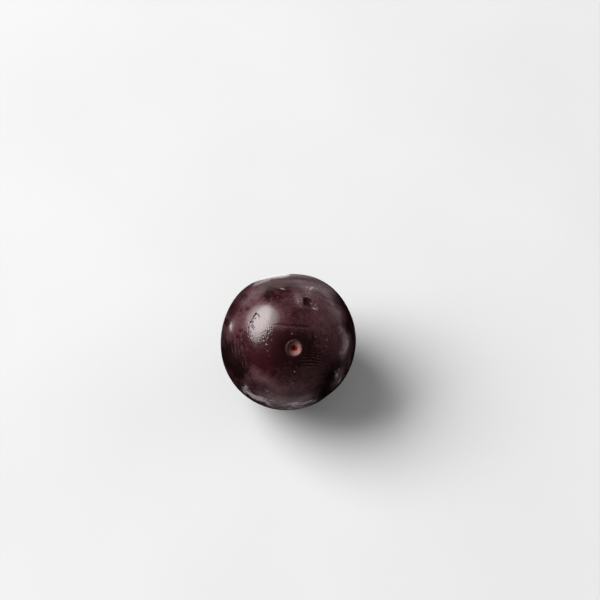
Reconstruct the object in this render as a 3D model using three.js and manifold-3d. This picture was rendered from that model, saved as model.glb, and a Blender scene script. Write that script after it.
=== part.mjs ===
// A ripe, round, dark plum, lying on the small flat spot that its own weight presses into it.
// Millimetres and degrees, +Z up. The origin is under the middle of the fruit, on the surface it lies on.
// The fruit is grown in its own frame first, with the stem scar on top, then leaned over and set down.
import * as THREE from "three";
import { mergeVertices } from "three/addons/utils/BufferGeometryUtils.js";
import Module from "manifold-3d";

// Driving dimensions of the fruit.
const WIDTH = 40; // across the widest part
const LENGTH = 41.5; // from the stem end to the blossom end
const FULLNESS = 0.02; // how much broader the stem half is than the blossom half, as a share
const LEAN = 32.5; // how far the stem end leans over from straight up, towards -Y
const TURN = 9.3; // how far that lean is turned towards +X
const FOOT_DEPTH = 0.42; // how much of the round underside the flat spot takes off

// The fruit isn't a perfect round in plan: one way is longer, and a cheek and a shoulder swell a little.
const OVAL_SHARE = 0.015;
const OVAL_BEARING = 38;
const CHEEK_SHARE = 0.026;
const CHEEK_BEARING = 52;
const CHEEK_SPREAD = 25;
const SHOULDER_SHARE = 0.045;
const SHOULDER_BEARING = 122;
const SHOULDER_SPREAD = 30;
const FLANK_START = 12; // how far from the stem axis the uneven growth has its full share

// The hollow that the stem grew from, and the fainter one at the blossom end.
const CAVITY_DEPTH = 1.2;
const CAVITY_REACH = 3.9;
const BLOSSOM_DEPTH = 0.35;
const BLOSSOM_REACH = 2.6;

// The stem scar: a corky ring round a cup, with a small pit in its middle where the vessels broke.
const SCAR_RADIUS = 2.6;
const SCAR_RIM_HEIGHT = 0.25;
const SCAR_CUP_DEPTH = 0.6;
const SCAR_PIT_RADIUS = 1.1;
const SCAR_PIT_DEPTH = 1.3;
const SKIN_MARGIN = 0.3; // the skin begins this far outside the ring, and outside the button below

// The style's scar at the blossom end: a low dry button.
const STYLE_RADIUS = 0.7;
const STYLE_HEIGHT = 0.15;

// The suture, the shallow groove that runs down one side from the stem to the blossom end.
const SUTURE_BEARING = -62;
const SUTURE_DEPTH = 0.22;
const SUTURE_REACH = 2.6;
const SUTURE_START = 8; // how far from the stem axis the groove has reached its depth

// A healed pit in the skin, left by hail or an insect.
const PIT_FROM_STEM = 41;
const PIT_BEARING = 64;
const PIT_LENGTH = 3;
const PIT_BREADTH = 2.7;
const PIT_DEPTH = 0.5;

// How finely the skin is faceted.
const MERIDIANS = 72;
const FLANK_RINGS = 44;
const RING_CROWDING = 1.25; // above 1, the rings lie closer together near the stem
const TOOL_MERIDIANS = 24;
const TOOL_RINGS = 16;

const radians = THREE.MathUtils.degToRad;
const halfWidth = WIDTH / 2;
const halfLength = LENGTH / 2;

// A smooth hump of height 1 at 0 that has died away by about twice its reach.
function hump(distance, reach) {
  return Math.exp(-((distance / reach) ** 2));
}

// The shortest turn between two bearings, in degrees.
function turnBetween(bearing, other) {
  return ((((bearing - other + 180) % 360) + 360) % 360) - 180;
}

// A point of the plain half outline, at an angle from the stem end: distance from the axis, and height.
function outlineAt(angle) {
  const radius = halfWidth * Math.sin(angle) * (1 + FULLNESS * Math.cos(angle));
  const cavity = angle < Math.PI / 2 ? CAVITY_DEPTH * hump(radius, CAVITY_REACH) : 0;
  const dimple = angle > Math.PI / 2 ? BLOSSOM_DEPTH * hump(radius, BLOSSOM_REACH) : 0;
  return new THREE.Vector2(radius, halfLength * Math.cos(angle) - cavity + dimple);
}

// The half outline from the blossom end up to the stem end: button, flank, corky rim, cup and pit.
function halfOutline() {
  const stemEdge = Math.asin((SCAR_RADIUS + SKIN_MARGIN) / halfWidth);
  const blossomEdge = Math.PI - Math.asin((STYLE_RADIUS + SKIN_MARGIN) / halfWidth);
  const flank = [];
  for (let ring = FLANK_RINGS; ring >= 0; ring--) {
    const share = (ring / FLANK_RINGS) ** RING_CROWDING;
    flank.push(outlineAt(stemEdge + (blossomEdge - stemEdge) * share));
  }
  const skinAtStyle = flank[0].y;
  const skinAtScar = flank[flank.length - 1].y;
  // Each step is a distance from the axis and a height above the skin there.
  const button = [
    [0, -STYLE_HEIGHT],
    [STYLE_RADIUS * 0.8, -STYLE_HEIGHT],
    [STYLE_RADIUS, 0],
  ].map(([radius, height]) => new THREE.Vector2(radius, skinAtStyle + height));
  const scar = [
    [SCAR_RADIUS, SCAR_RIM_HEIGHT * 0.7],
    [SCAR_RADIUS * 0.9, SCAR_RIM_HEIGHT],
    [SCAR_RADIUS * 0.8, SCAR_RIM_HEIGHT * 0.4],
    [SCAR_RADIUS * 0.65, -SCAR_CUP_DEPTH * 0.6],
    [SCAR_PIT_RADIUS, -SCAR_CUP_DEPTH],
    [SCAR_PIT_RADIUS * 0.7, -SCAR_PIT_DEPTH * 0.85],
    [0, -SCAR_PIT_DEPTH],
  ].map(([radius, height]) => new THREE.Vector2(radius, skinAtScar + height));
  return [...button, ...flank, ...scar];
}

// Pushes a turned point out of round: the oval, the full cheek and shoulder, and the suture. None of them
// reaches the scar.
function growUneven(point) {
  const radius = Math.hypot(point.x, point.y);
  const bearing = THREE.MathUtils.radToDeg(Math.atan2(point.y, point.x));
  const onFlank = THREE.MathUtils.smoothstep(radius, SCAR_RADIUS, FLANK_START);
  const oval = OVAL_SHARE * Math.cos(2 * radians(bearing - OVAL_BEARING));
  const cheek = CHEEK_SHARE * hump(turnBetween(bearing, CHEEK_BEARING), CHEEK_SPREAD);
  const shoulder = SHOULDER_SHARE * hump(turnBetween(bearing, SHOULDER_BEARING), SHOULDER_SPREAD);
  const swell = 1 + (oval + cheek + shoulder) * onFlank;
  const acrossSuture = radius * radians(turnBetween(bearing, SUTURE_BEARING));
  const pastScar = THREE.MathUtils.smoothstep(radius, SCAR_RADIUS, SUTURE_START);
  const groove = SUTURE_DEPTH * hump(acrossSuture, SUTURE_REACH) * pastScar;
  const sink = 1 - groove / point.length();
  return point.set(point.x * swell * sink, point.y * swell * sink, point.z * sink);
}

// A closed mesh whose shared corners are one vertex each, with the collapsed triangles at the poles dropped.
function closedMesh(geometry) {
  const bare = geometry.clone();
  bare.deleteAttribute("normal");
  bare.deleteAttribute("uv");
  const merged = mergeVertices(bare, 1e-4);
  const corners = merged.index.array;
  const kept = [];
  for (let i = 0; i < corners.length; i += 3) {
    const [a, b, c] = corners.slice(i, i + 3);
    if (a !== b && b !== c && c !== a) kept.push(a, b, c);
  }
  merged.setIndex(kept);
  return merged;
}

const wasm = await Module();
wasm.setup();

function solidFrom(geometry) {
  const mesh = closedMesh(geometry);
  return new wasm.Manifold(
    new wasm.Mesh({
      numProp: 3,
      vertProperties: new Float32Array(mesh.attributes.position.array),
      triVerts: new Uint32Array(mesh.index.array),
    }),
  );
}

function geometryFrom(solid) {
  const { vertProperties, triVerts } = solid.getMesh();
  const geometry = new THREE.BufferGeometry();
  geometry.setAttribute("position", new THREE.BufferAttribute(vertProperties, 3));
  geometry.setIndex(new THREE.BufferAttribute(triVerts, 1));
  return geometry;
}

// The whole skin, turned about the stem axis and pushed out of round.
function skin() {
  const geometry = new THREE.LatheGeometry(halfOutline(), MERIDIANS).rotateX(Math.PI / 2);
  const points = geometry.attributes.position;
  const point = new THREE.Vector3();
  for (let i = 0; i < points.count; i++) {
    growUneven(point.fromBufferAttribute(points, i));
    points.setXYZ(i, point.x, point.y, point.z);
  }
  return geometry;
}

// The lens-shaped tool that leaves the healed pit: a ball that dips below the skin by the pit's depth.
function pitTool() {
  const halfMouth = PIT_LENGTH / 2;
  const ball = (halfMouth ** 2 + PIT_DEPTH ** 2) / (2 * PIT_DEPTH);
  const angle = radians(PIT_FROM_STEM);
  const bearing = radians(PIT_BEARING);
  const onSkin = outlineAt(angle);
  const place = growUneven(
    new THREE.Vector3(onSkin.x * Math.cos(bearing), onSkin.x * Math.sin(bearing), onSkin.y),
  );
  const distance = place.length() + ball - PIT_DEPTH;
  return new THREE.SphereGeometry(ball, TOOL_MERIDIANS, TOOL_RINGS)
    .scale(1, PIT_BREADTH / PIT_LENGTH, 1)
    .translate(0, 0, distance)
    .rotateY(Math.acos(place.z / place.length()))
    .rotateZ(Math.atan2(place.y, place.x));
}

// Leans the fruit over as it came to rest.
function lean(geometry) {
  return geometry.rotateX(radians(LEAN)).rotateZ(radians(TURN));
}

function plumGeometry() {
  const whole = solidFrom(lean(skin()));
  const pitted = whole.subtract(solidFrom(lean(pitTool())));
  const lowest = pitted.boundingBox().min[2];
  const block = new THREE.BoxGeometry(WIDTH * 2, WIDTH * 2, WIDTH);
  block.translate(0, 0, lowest + FOOT_DEPTH - WIDTH / 2);
  const set = geometryFrom(pitted.subtract(solidFrom(block)));
  set.computeBoundingBox();
  const middle = set.boundingBox.getCenter(new THREE.Vector3());
  return set.translate(-middle.x, -middle.y, -set.boundingBox.min.z);
}

const plum = new THREE.Mesh(
  plumGeometry(),
  new THREE.MeshStandardMaterial({ color: "#2b1216", roughness: 0.35, metalness: 0 }),
);
plum.name = "plum";

const fruit = new THREE.Group();
fruit.add(plum);

export default fruit;
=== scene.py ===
import math

import bpy
import numpy as np
from mathutils import Euler, Matrix, Vector, noise


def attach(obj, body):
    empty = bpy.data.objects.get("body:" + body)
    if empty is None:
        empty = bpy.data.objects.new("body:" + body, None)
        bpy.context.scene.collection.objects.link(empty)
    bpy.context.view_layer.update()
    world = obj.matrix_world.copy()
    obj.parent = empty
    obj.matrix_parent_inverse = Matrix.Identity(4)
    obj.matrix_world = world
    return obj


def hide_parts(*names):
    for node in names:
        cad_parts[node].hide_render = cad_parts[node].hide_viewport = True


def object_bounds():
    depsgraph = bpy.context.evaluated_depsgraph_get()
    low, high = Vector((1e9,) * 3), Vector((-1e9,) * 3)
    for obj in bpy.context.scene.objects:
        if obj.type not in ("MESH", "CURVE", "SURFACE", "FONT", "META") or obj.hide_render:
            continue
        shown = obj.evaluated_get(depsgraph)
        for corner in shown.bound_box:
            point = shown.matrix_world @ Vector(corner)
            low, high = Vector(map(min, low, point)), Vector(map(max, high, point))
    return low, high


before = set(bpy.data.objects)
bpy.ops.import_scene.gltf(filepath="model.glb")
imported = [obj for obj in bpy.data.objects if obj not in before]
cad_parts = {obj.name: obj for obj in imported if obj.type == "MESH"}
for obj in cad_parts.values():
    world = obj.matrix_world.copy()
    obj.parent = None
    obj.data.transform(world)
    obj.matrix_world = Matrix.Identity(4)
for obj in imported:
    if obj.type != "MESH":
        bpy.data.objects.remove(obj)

cad_low, cad_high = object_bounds()

# ------------------------------------------------------------------------------------------
# THE FRUIT
# One plum, grown in one piece: a thin waxy skin drawn tight over firm flesh and a stone, with
# the corky scar of its stem on top. It lies on the flat spot that its own weight presses in.
# ------------------------------------------------------------------------------------------
MM = 0.001  # sizes are in millimetres, and the frame is in metres

WIDTH = 40.0  # across the widest part
LENGTH = 41.5  # from the stem end to the blossom end
FULLNESS = 0.02  # how much broader the stem half is than the blossom half, as a share
LEAN = math.radians(32.5)  # how far the stem end leans over from straight up, towards -Y
TURN = math.radians(9.3)  # how far that lean is turned towards +X

# A ball of skin with its pole at the stem, whose rings are then drawn to the fruit's outline.
MERIDIANS = 288
RINGS = 264
SCAR_RINGS = 40
BUTTON_RINGS = 8
RING_CROWDING = 1.15  # above 1, the rings lie closer together near the stem

CAVITY_DEPTH, CAVITY_REACH = 1.2, 3.9
BLOSSOM_DEPTH, BLOSSOM_REACH = 0.35, 2.6
SKIN_MARGIN = 0.3  # the skin begins this far outside the scar, and outside the button below
SCAR_RADIUS = 2.6
STYLE_RADIUS, STYLE_HEIGHT = 0.7, 0.15
STYLE_FOOT, STYLE_TOP = 1.15, 0.7  # where the button starts and ends to rise, in its radii
# The scar from its middle outwards: distance from the stem axis, and height above the skin.
SCAR_STEPS = (
    (0.0, -1.3), (0.65, -1.15), (0.95, -0.62), (1.25, -0.42), (1.7, -0.2),
    (2.05, 0.12), (2.25, 0.17), (2.45, 0.09), (2.65, -0.03), (2.9, 0.0),
)
SCAR_SOFTNESS = 0.1  # how far each step is rounded off to either side
SCAR_SAMPLES = 7
# The scar is drawn in from its steps by these shares: all round, as an oval, and in three lobes.
SCAR_SHRINK, SCAR_OVAL, SCAR_LOBE = 0.04, 0.015, 0.012
LOBED_REACH = 2.8  # past this distance from the axis, the fruit is round again


def hump(distance, reach):
    """A smooth hump of height 1 at distance 0, gone by about twice its reach."""
    return np.exp(-((distance / reach) ** 2))


def ease(low, high, value):
    """0 below low, 1 above high, and a smooth rise between."""
    share = np.clip((value - low) / (high - low), 0, 1)
    return share * share * (3 - 2 * share)


def outline_at(angle):
    """The plain half outline at an angle from the stem: distance from the axis, and height."""
    radius = WIDTH / 2 * np.sin(angle) * (1 + FULLNESS * np.cos(angle))
    cavity = np.where(angle < math.pi / 2, CAVITY_DEPTH * hump(radius, CAVITY_REACH), 0)
    dimple = np.where(angle > math.pi / 2, BLOSSOM_DEPTH * hump(radius, BLOSSOM_REACH), 0)
    return radius, LENGTH / 2 * np.cos(angle) - cavity + dimple


def scar_lobes(bearing):
    """How much farther out along its steps the scar is than it looks, at a bearing."""
    oval = SCAR_OVAL * np.cos(2 * bearing)
    return 1 + SCAR_SHRINK + oval + SCAR_LOBE * np.cos(3 * bearing + 1)


def ring_outline(ring, bearing):
    """Distance from the axis and height of a ring, counted from the middle of the scar."""
    stem_edge = math.asin((SCAR_RADIUS + SKIN_MARGIN) / (WIDTH / 2))
    blossom_edge = math.pi - math.asin((STYLE_RADIUS + SKIN_MARGIN) / (WIDTH / 2))
    share = np.clip((ring - SCAR_RINGS) / (RINGS - SCAR_RINGS - BUTTON_RINGS), 0, 1)
    radius, height = outline_at(stem_edge + (blossom_edge - stem_edge) * share**RING_CROWDING)
    radius = radius * np.minimum(ring / SCAR_RINGS, 1)
    radius = radius * np.minimum((RINGS - ring) / BUTTON_RINGS, 1)
    lobed = np.where(radius < LOBED_REACH, radius * scar_lobes(bearing), radius)
    blur = np.linspace(-SCAR_SOFTNESS, SCAR_SOFTNESS, SCAR_SAMPLES)
    steps = np.interp(np.abs(lobed[:, None] + blur), *np.array(SCAR_STEPS).T).mean(axis=1)
    height = height + np.where(ring < SCAR_RINGS, steps, 0)
    button = STYLE_HEIGHT * ease(STYLE_FOOT, STYLE_TOP, radius / STYLE_RADIUS)
    return radius, height - np.where(ring > RINGS - BUTTON_RINGS, button, 0)


def turn_between(bearing, other):
    """The shortest turn between bearings, in degrees."""
    return (bearing - other + 180) % 360 - 180


OVAL_SHARE, OVAL_BEARING = 0.015, 38
CHEEK_SHARE, CHEEK_BEARING, CHEEK_SPREAD = 0.026, 52, 25
SHOULDER_SHARE, SHOULDER_BEARING, SHOULDER_SPREAD = 0.045, 122, 30
FLANK_START = 12.0  # how far from the axis the uneven growth has its full share
SUTURE_BEARING, SUTURE_DEPTH, SUTURE_REACH = -62, 0.22, 2.6
SUTURE_START = 8.0  # how far from the axis the suture has reached its depth


def grow_uneven(own):
    """Pushes the turned skin out of round: the oval, the full cheek and shoulder, the suture."""
    radius = np.hypot(own[:, 0], own[:, 1])
    bearing = np.degrees(np.arctan2(own[:, 1], own[:, 0]))
    oval = OVAL_SHARE * np.cos(2 * np.radians(bearing - OVAL_BEARING))
    cheek = CHEEK_SHARE * hump(turn_between(bearing, CHEEK_BEARING), CHEEK_SPREAD)
    shoulder = SHOULDER_SHARE * hump(turn_between(bearing, SHOULDER_BEARING), SHOULDER_SPREAD)
    swell = 1 + (oval + cheek + shoulder) * ease(SCAR_RADIUS, FLANK_START, radius)
    across = radius * np.radians(turn_between(bearing, SUTURE_BEARING))
    groove = SUTURE_DEPTH * hump(across, SUTURE_REACH)
    sink = 1 - groove * ease(SCAR_RADIUS, SUTURE_START, radius) / np.linalg.norm(own, axis=1)
    return own * np.stack([swell * sink, swell * sink, sink], axis=1)


def grown(ball):
    """Where each point of the plain ball is on the fruit, in the fruit's own frame."""
    from_pole = np.arccos(np.clip(ball[:, 2] / np.linalg.norm(ball, axis=1), -1, 1))
    bearing = np.arctan2(ball[:, 1], ball[:, 0])
    radius, height = ring_outline(from_pole / math.pi * RINGS, bearing)
    turned = np.stack([radius * np.cos(bearing), radius * np.sin(bearing), height], axis=1)
    return grow_uneven(turned)


# The marks of the stem side are placed on its plan, looking down the stem axis: millimetres
# from the axis, +X to the right and +Y up. They fade out below the fruit's widest line.
MARKS_END, MARKS_FADE = -7.0, -1.0


def stem_side(own):
    """1 on the stem side of the widest line, fading to 0 below it."""
    return ease(MARKS_END, MARKS_FADE, own[:, 2])


def patch(own, x, y, long, broad, turn=0, edge=1.0):
    """1 in the middle of an oval mark and 0 outside; a larger edge is a crisper one."""
    angle = math.radians(turn)
    dx, dy = own[:, 0] - x, own[:, 1] - y
    along = (dx * math.cos(angle) + dy * math.sin(angle)) / long
    across = (dy * math.cos(angle) - dx * math.sin(angle)) / broad
    return np.exp(-((along**2 + across**2) ** edge)) * stem_side(own)


def patches_on(own, patches, edge):
    """Oval marks laid over one another. Each is place, half length and breadth, turn, amount."""
    return sum(amount * patch(own, *oval, edge) for *oval, amount in patches)


def stroke(own, points, width, tips=True):
    """1 along a line on the plan, fading to nothing over its width and towards its tips."""
    nearest = np.full(len(own), 1e3)
    along = np.zeros(len(own))
    for number, (start, end) in enumerate(zip(points, points[1:])):
        start, way = np.array(start), np.subtract(end, start)
        share = np.clip((own[:, :2] - start) @ way / (way @ way), 0, 1)
        gap = np.linalg.norm(own[:, :2] - start - share[:, None] * way, axis=1)
        along = np.where(gap < nearest, (number + share) / (len(points) - 1), along)
        nearest = np.minimum(gap, nearest)
    faded = np.clip(4 * along * (1 - along), 0, 1) ** 0.5 if tips else 1
    return hump(nearest, width) * faded * stem_side(own)


SEED_STEP = (17.3, -9.1, 5.7)  # how far apart the noises of two seeds are read


def rough(own, size, seed, octaves=1):
    """Smooth noise from about -1 to 1 whose bumps are size millimetres across."""
    shift = Vector([seed * step for step in SEED_STEP])
    return np.array([noise.fractal(Vector(at) + shift, 1.0, 2.0, octaves) for at in own / size])


def shaken(own, reach, size, seed, octaves):
    """Points moved a little sideways, where marks are looked up to give them ragged edges."""
    moved = own.copy()
    moved[:, 0] += reach * rough(own, size, seed, octaves)
    moved[:, 1] += reach * rough(own, size, seed + 1, octaves)
    return moved


# A pit in the skin that has healed: its place, its size, and how uneven its edge and floor are.
PIT_FROM_STEM, PIT_BEARING = math.radians(41.0), math.radians(64.0)
PIT_LENGTH, PIT_BREADTH, PIT_DEPTH = 3.0, 2.7, 0.5
PIT_RAGGED, PIT_RAGGED_SIZE = 0.55, 1.3
PIT_FLOOR_ROUGH, PIT_FLOOR_SIZE = 0.2, 0.6
PIT_STEEPNESS = 1.2  # above 1, the pit's wall is hollow and its lip is soft
# A crease where the skin has folded, a cut with a lifted flap, and scratches. Each scratch is
# its half width and its line.
CREASE = ((-4.9, 7.5), (-2.9, 7.35), (-0.2, 6.8), (2.6, 6.1), (5.6, 5.5))
CREASE_LIP = ((-4.2, 6.75), (-1.4, 6.4), (1.4, 5.75), (4.2, 5.0))
CUT = ((-2.5, 17.0), (-1.5, 16.85), (-0.9, 16.5), (-0.3, 16.15), (0.6, 15.95), (2.2, 15.6))
CUT_FLAP = ((-2.6, 17.35), (-1.6, 17.3), (-0.9, 16.95), (-0.2, 16.6), (0.6, 16.4))
SCRATCHES = (
    (0.15, ((-8.5, 9.8), (-8.3, 10.7), (-9.1, 11.3), (-10.1, 10.1), (-10.8, 9.3))),
    (0.22, ((-11.4, 8.9), (-10.9, 9.1), (-10.1, 9.0))),
    (0.12, ((-9.6, 10.1), (-9.4, 9.7))),
    (0.11, ((-10.9, 10.6), (-10.7, 10.3))),
    (0.09, ((-11.2, 8.3), (-10.8, 7.6), (-10.5, 7.0))),
    (0.09, ((-10.8, 8.5), (-10.3, 7.8), (-10.1, 7.2))),
    (0.10, ((-12.0, 8.0), (-11.8, 7.4))),
)
# Dried drops and crumbs of wax: place on the plan, and radius.
CRUMBS = (
    (-7.6, 2.2, 0.15), (-7.7, 0.3, 0.12), (-9.0, 1.7, 0.07), (-6.2, 3.4, 0.13),
    (6.4, 2.3, 0.14), (6.8, 1.5, 0.11), (10.0, 0.4, 0.14), (9.7, 0.9, 0.11),
    (0.0, 4.3, 0.14), (-0.9, -6.7, 0.12), (-1.9, -10.0, 0.14), (-1.2, -8.6, 0.09),
    (-8.2, 3.4, 0.08), (-7.4, -1.0, 0.08), (-7.0, 4.0, 0.09), (-5.9, 4.2, 0.08),
    (-6.9, 1.2, 0.07), (-8.1, 1.1, 0.07), (7.9, -2.4, 0.10), (9.2, -0.9, 0.10),
    (7.0, 16.0, 0.16), (7.8, 15.4, 0.24), (8.8, 15.6, 0.22), (9.7, 15.4, 0.15),
    (7.0, 14.7, 0.12), (11.0, -8.8, 0.09), (-13.5, 10.2, 0.09), (-5.2, -14.6, 0.11),
    (3.8, 8.4, 0.08), (5.9, 7.1, 0.08),
)
CRUMB_EDGE = 1.5


def healed_pit(own):
    """How far each point is from the middle of the healed pit, 1 at its lip."""
    radius, height = outline_at(PIT_FROM_STEM)
    middle = [radius * math.cos(PIT_BEARING), radius * math.sin(PIT_BEARING), height]
    middle = grow_uneven(np.array([middle]))[0]
    outward = middle / np.linalg.norm(middle)
    across = np.cross([0, 0, 1], outward)
    across /= np.linalg.norm(across)
    down = np.cross(across, outward)
    offset = own - middle
    return np.hypot(offset @ down / (PIT_LENGTH / 2), offset @ across / (PIT_BREADTH / 2))


def crumbs_on(own):
    """1 on a dried drop or crumb of wax, and 0 beside it."""
    uneven = shaken(own, 0.3, 0.6, 10, 2)
    found = np.zeros(len(own))
    for x, y, radius in CRUMBS:
        found = np.maximum(found, patch(uneven, x, y, radius, radius, edge=CRUMB_EDGE))
    return found


# Fine wrinkles beside the scar: they run across in low arches, and fan out above it.
WRINKLE_SPACING = 0.9
WRINKLE_SLOPE, WRINKLE_ARCH, WRINKLE_ARCH_TOP = 0.22, 0.04, 4.0
WRINKLE_RAYS, WRINKLE_RAY_SHARE = 26, 0.3
BELOW_SCAR, BELOW_SCAR_EDGE = (3.9, -3.8, 3.0, 2.4, -12), 1.6
ABOVE_SCAR, ABOVE_SCAR_EDGE = (2.9, 3.3, 2.0, 1.2, -50), 1.4


def wrinkled_on(own):
    """1 on the crest of a wrinkle beside the scar, and -1 in a trough."""
    arch = WRINKLE_ARCH * (own[:, 0] - WRINKLE_ARCH_TOP) ** 2
    across = own[:, 1] + WRINKLE_SLOPE * own[:, 0] + arch + 0.25 * rough(own, 2.6, 14, 2)
    arches = np.sin(2 * math.pi * across / WRINKLE_SPACING)
    rays = np.sin(WRINKLE_RAYS * np.arctan2(own[:, 1], own[:, 0]) + 2 * rough(own, 1.5, 15))
    below = arches * patch(own, *BELOW_SCAR, BELOW_SCAR_EDGE)
    return below + WRINKLE_RAY_SHARE * rays * patch(own, *ABOVE_SCAR, ABOVE_SCAR_EDGE)


# Where the skin is pebbled by dried juice, mostly round the lower right of its brightest side.
PEBBLED = (
    (-7.4, 5.0, 3.8, 1.5, 37, 1.0), (-7.4, 1.8, 1.2, 3.0, 0, 0.8),
    (-13.2, 4.6, 2.0, 2.2, 0, 0.9), (-10.5, 2.4, 2.0, 1.5, 0, 0.5),
    (-11.7, 7.2, 0.7, 3.2, 0, 0.6), (-10.6, 7.6, 3.4, 2.2, 55, 0.3),
    (9.0, 14.8, 3.0, 2.4, 0, 0.4),
)
PEBBLED_EDGE = 1.5


def pebbled_on(own):
    """1 where the skin is most pebbled, and 0 where it is smooth."""
    return np.clip(patches_on(own, PEBBLED, PEBBLED_EDGE), 0, 1)


# Fine spatter: juice that dried in beads 0.2 to 0.4 mm across, thickest where it is pebbled.
SPATTER_COUNT = 520
SPATTER_LOW, SPATTER_HIGH = (-12.5, -1.5), (-3.5, 9.0)
SPATTER_MARGIN = 0.5
SPATTER_HEIGHT = 15.0  # about how high the skin lies there, above the fruit's middle
scatter = np.random.default_rng(7)
spatter_places = scatter.uniform(SPATTER_LOW, SPATTER_HIGH, (SPATTER_COUNT, 2))
spatter_sizes = scatter.uniform(0.07, 0.14, SPATTER_COUNT)
spatter_chances = scatter.uniform(0.15, 1.0, SPATTER_COUNT)


def spatter_on(own):
    """1 on a bead of the spatter, and 0 beside it."""
    seeds = np.column_stack([spatter_places, np.full(SPATTER_COUNT, SPATTER_HEIGHT)])
    kept = pebbled_on(seeds) > spatter_chances
    near = own[:, 2] > 0
    for axis, (low, high) in enumerate(zip(SPATTER_LOW, SPATTER_HIGH)):
        near &= (own[:, axis] > low - SPATTER_MARGIN) & (own[:, axis] < high + SPATTER_MARGIN)
    plan = own[near, :2]
    beads = np.zeros(len(plan))
    for place, size in zip(spatter_places[kept], spatter_sizes[kept]):
        beads = np.maximum(beads, hump(np.linalg.norm(plan - place, axis=1), size))
    found = np.zeros(len(own))
    found[near] = beads
    return found


# How high or deep each kind of relief is, with its size or half width.
SWELL_HEIGHT, SWELL_SIZE = 0.07, 9.0
RIPPLE_HEIGHT, RIPPLE_SIZE = 0.010, 2.2
PEBBLE_HEIGHT, PEBBLE_SIZE = 0.014, 0.45
BEAD_HEIGHT = 0.04
CORK_HEIGHT, CORK_SIZE = 0.05, 0.5
CORK_FULL, CORK_END = 2.3, 2.7  # where the torn cork is full, and where it ends, from the axis
LIP_HEIGHT, LIP_SIZE = 0.05, 0.5
LIP, LIP_EDGE = (8.5, 10.3, 1.2, 0.8, 45), 1.6
FAR_LIP, FAR_LIP_EDGE, FAR_LIP_SHARE = (3.6, 12.8, 0.8, 1.3, 20), 1.4, 0.2
CREASE_DEPTH, CREASE_WIDTH = 0.05, 0.26
CUT_DEPTH, CUT_WIDTH = 0.16, 0.2
FLAP_HEIGHT, FLAP_WIDTH = 0.10, 0.26
SCRATCH_DEPTH = 0.05
WRINKLE_HEIGHT = 0.045
CRUMB_HEIGHT = 0.08


def relief(own):
    """How far the skin stands out from its plain shape, in millimetres."""
    radius = np.hypot(own[:, 0], own[:, 1])
    height = SWELL_HEIGHT * rough(own, SWELL_SIZE, 1) + RIPPLE_HEIGHT * rough(own, RIPPLE_SIZE, 2)
    height += PEBBLE_HEIGHT * pebbled_on(own) * rough(own, PEBBLE_SIZE, 5, 2)
    height += BEAD_HEIGHT * spatter_on(own)
    # Inside the stem scar the torn cork is uneven.
    corky = (1 - ease(CORK_FULL, CORK_END, radius)) * (own[:, 2] > 0)
    height += CORK_HEIGHT * rough(own, CORK_SIZE, 6, 2) * corky
    pit = healed_pit(own) * (1 + PIT_RAGGED * rough(own, PIT_RAGGED_SIZE, 3, 2))
    pit_floor = 1 + PIT_FLOOR_ROUGH * rough(own, PIT_FLOOR_SIZE, 7)
    height -= PIT_DEPTH * np.clip(1 - pit**2, 0, 1) ** PIT_STEEPNESS * pit_floor
    lip = patch(own, *LIP, LIP_EDGE) + FAR_LIP_SHARE * patch(own, *FAR_LIP, FAR_LIP_EDGE)
    height += LIP_HEIGHT * lip * (1 + rough(own, LIP_SIZE, 8))
    height -= CREASE_DEPTH * stroke(own, CREASE, CREASE_WIDTH)
    height -= CUT_DEPTH * stroke(own, CUT, CUT_WIDTH)
    height += FLAP_HEIGHT * stroke(own, CUT_FLAP, FLAP_WIDTH)
    for width, scratch in SCRATCHES:
        height -= SCRATCH_DEPTH * stroke(own, scratch, width)
    return height + WRINKLE_HEIGHT * wrinkled_on(own) + CRUMB_HEIGHT * crumbs_on(own)


own_to_frame = np.array(Matrix.Rotation(TURN, 3, "Z") @ Matrix.Rotation(LEAN, 3, "X"))

bpy.ops.object.select_all(action="DESELECT")
bpy.ops.mesh.primitive_uv_sphere_add(
    segments=MERIDIANS, ring_count=RINGS, radius=WIDTH / 2 * MM
)
fruit = bpy.context.object
fruit.name = fruit.data.name = "fruit"


def places(parts, field="co"):
    """The place of every vertex, or the centre of every face, in millimetres."""
    flat = np.empty(len(parts) * 3)
    parts.foreach_get(field, flat)
    return flat.reshape(-1, 3) / MM


# The skin is divided more finely where it is marked: round the pit, in these ovals on the
# plan, and along these lines, each with its half width.
FINE_OVALS = ((-8.6, 7.0, 5.2, 3.6, 60), (8.0, 14.6, 3.0, 2.0, 0), (8.5, 10.4, 1.6, 1.4, 0))
DRIP = ((-7.5, 2.6), (-7.7, -0.4))
FINE_LINES = ((CREASE, 0.7), (CUT, 0.9), (CUT_FLAP, 0.8), (DRIP, 0.9))
FINE_PIT = 1.6  # in radii of the pit
FINE_SHARE = 0.37  # how much of a mark a face is on before it is divided

centres = grown(places(fruit.data.polygons, "center"))
marked = healed_pit(centres) < FINE_PIT
for oval in FINE_OVALS:
    marked |= patch(centres, *oval) > FINE_SHARE
for line, width in FINE_LINES:
    marked |= stroke(centres, line, width, tips=False) > FINE_SHARE
bpy.ops.object.mode_set(mode="EDIT")
bpy.ops.mesh.select_mode(type="FACE")
bpy.ops.mesh.select_all(action="DESELECT")
bpy.ops.object.mode_set(mode="OBJECT")
fruit.data.polygons.foreach_set("select", marked)
bpy.ops.object.mode_set(mode="EDIT")
bpy.ops.mesh.subdivide(number_cuts=1)
bpy.ops.object.mode_set(mode="OBJECT")

own = grown(places(fruit.data.vertices))
own += own / np.linalg.norm(own, axis=1)[:, None] * relief(own)[:, None]

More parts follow.
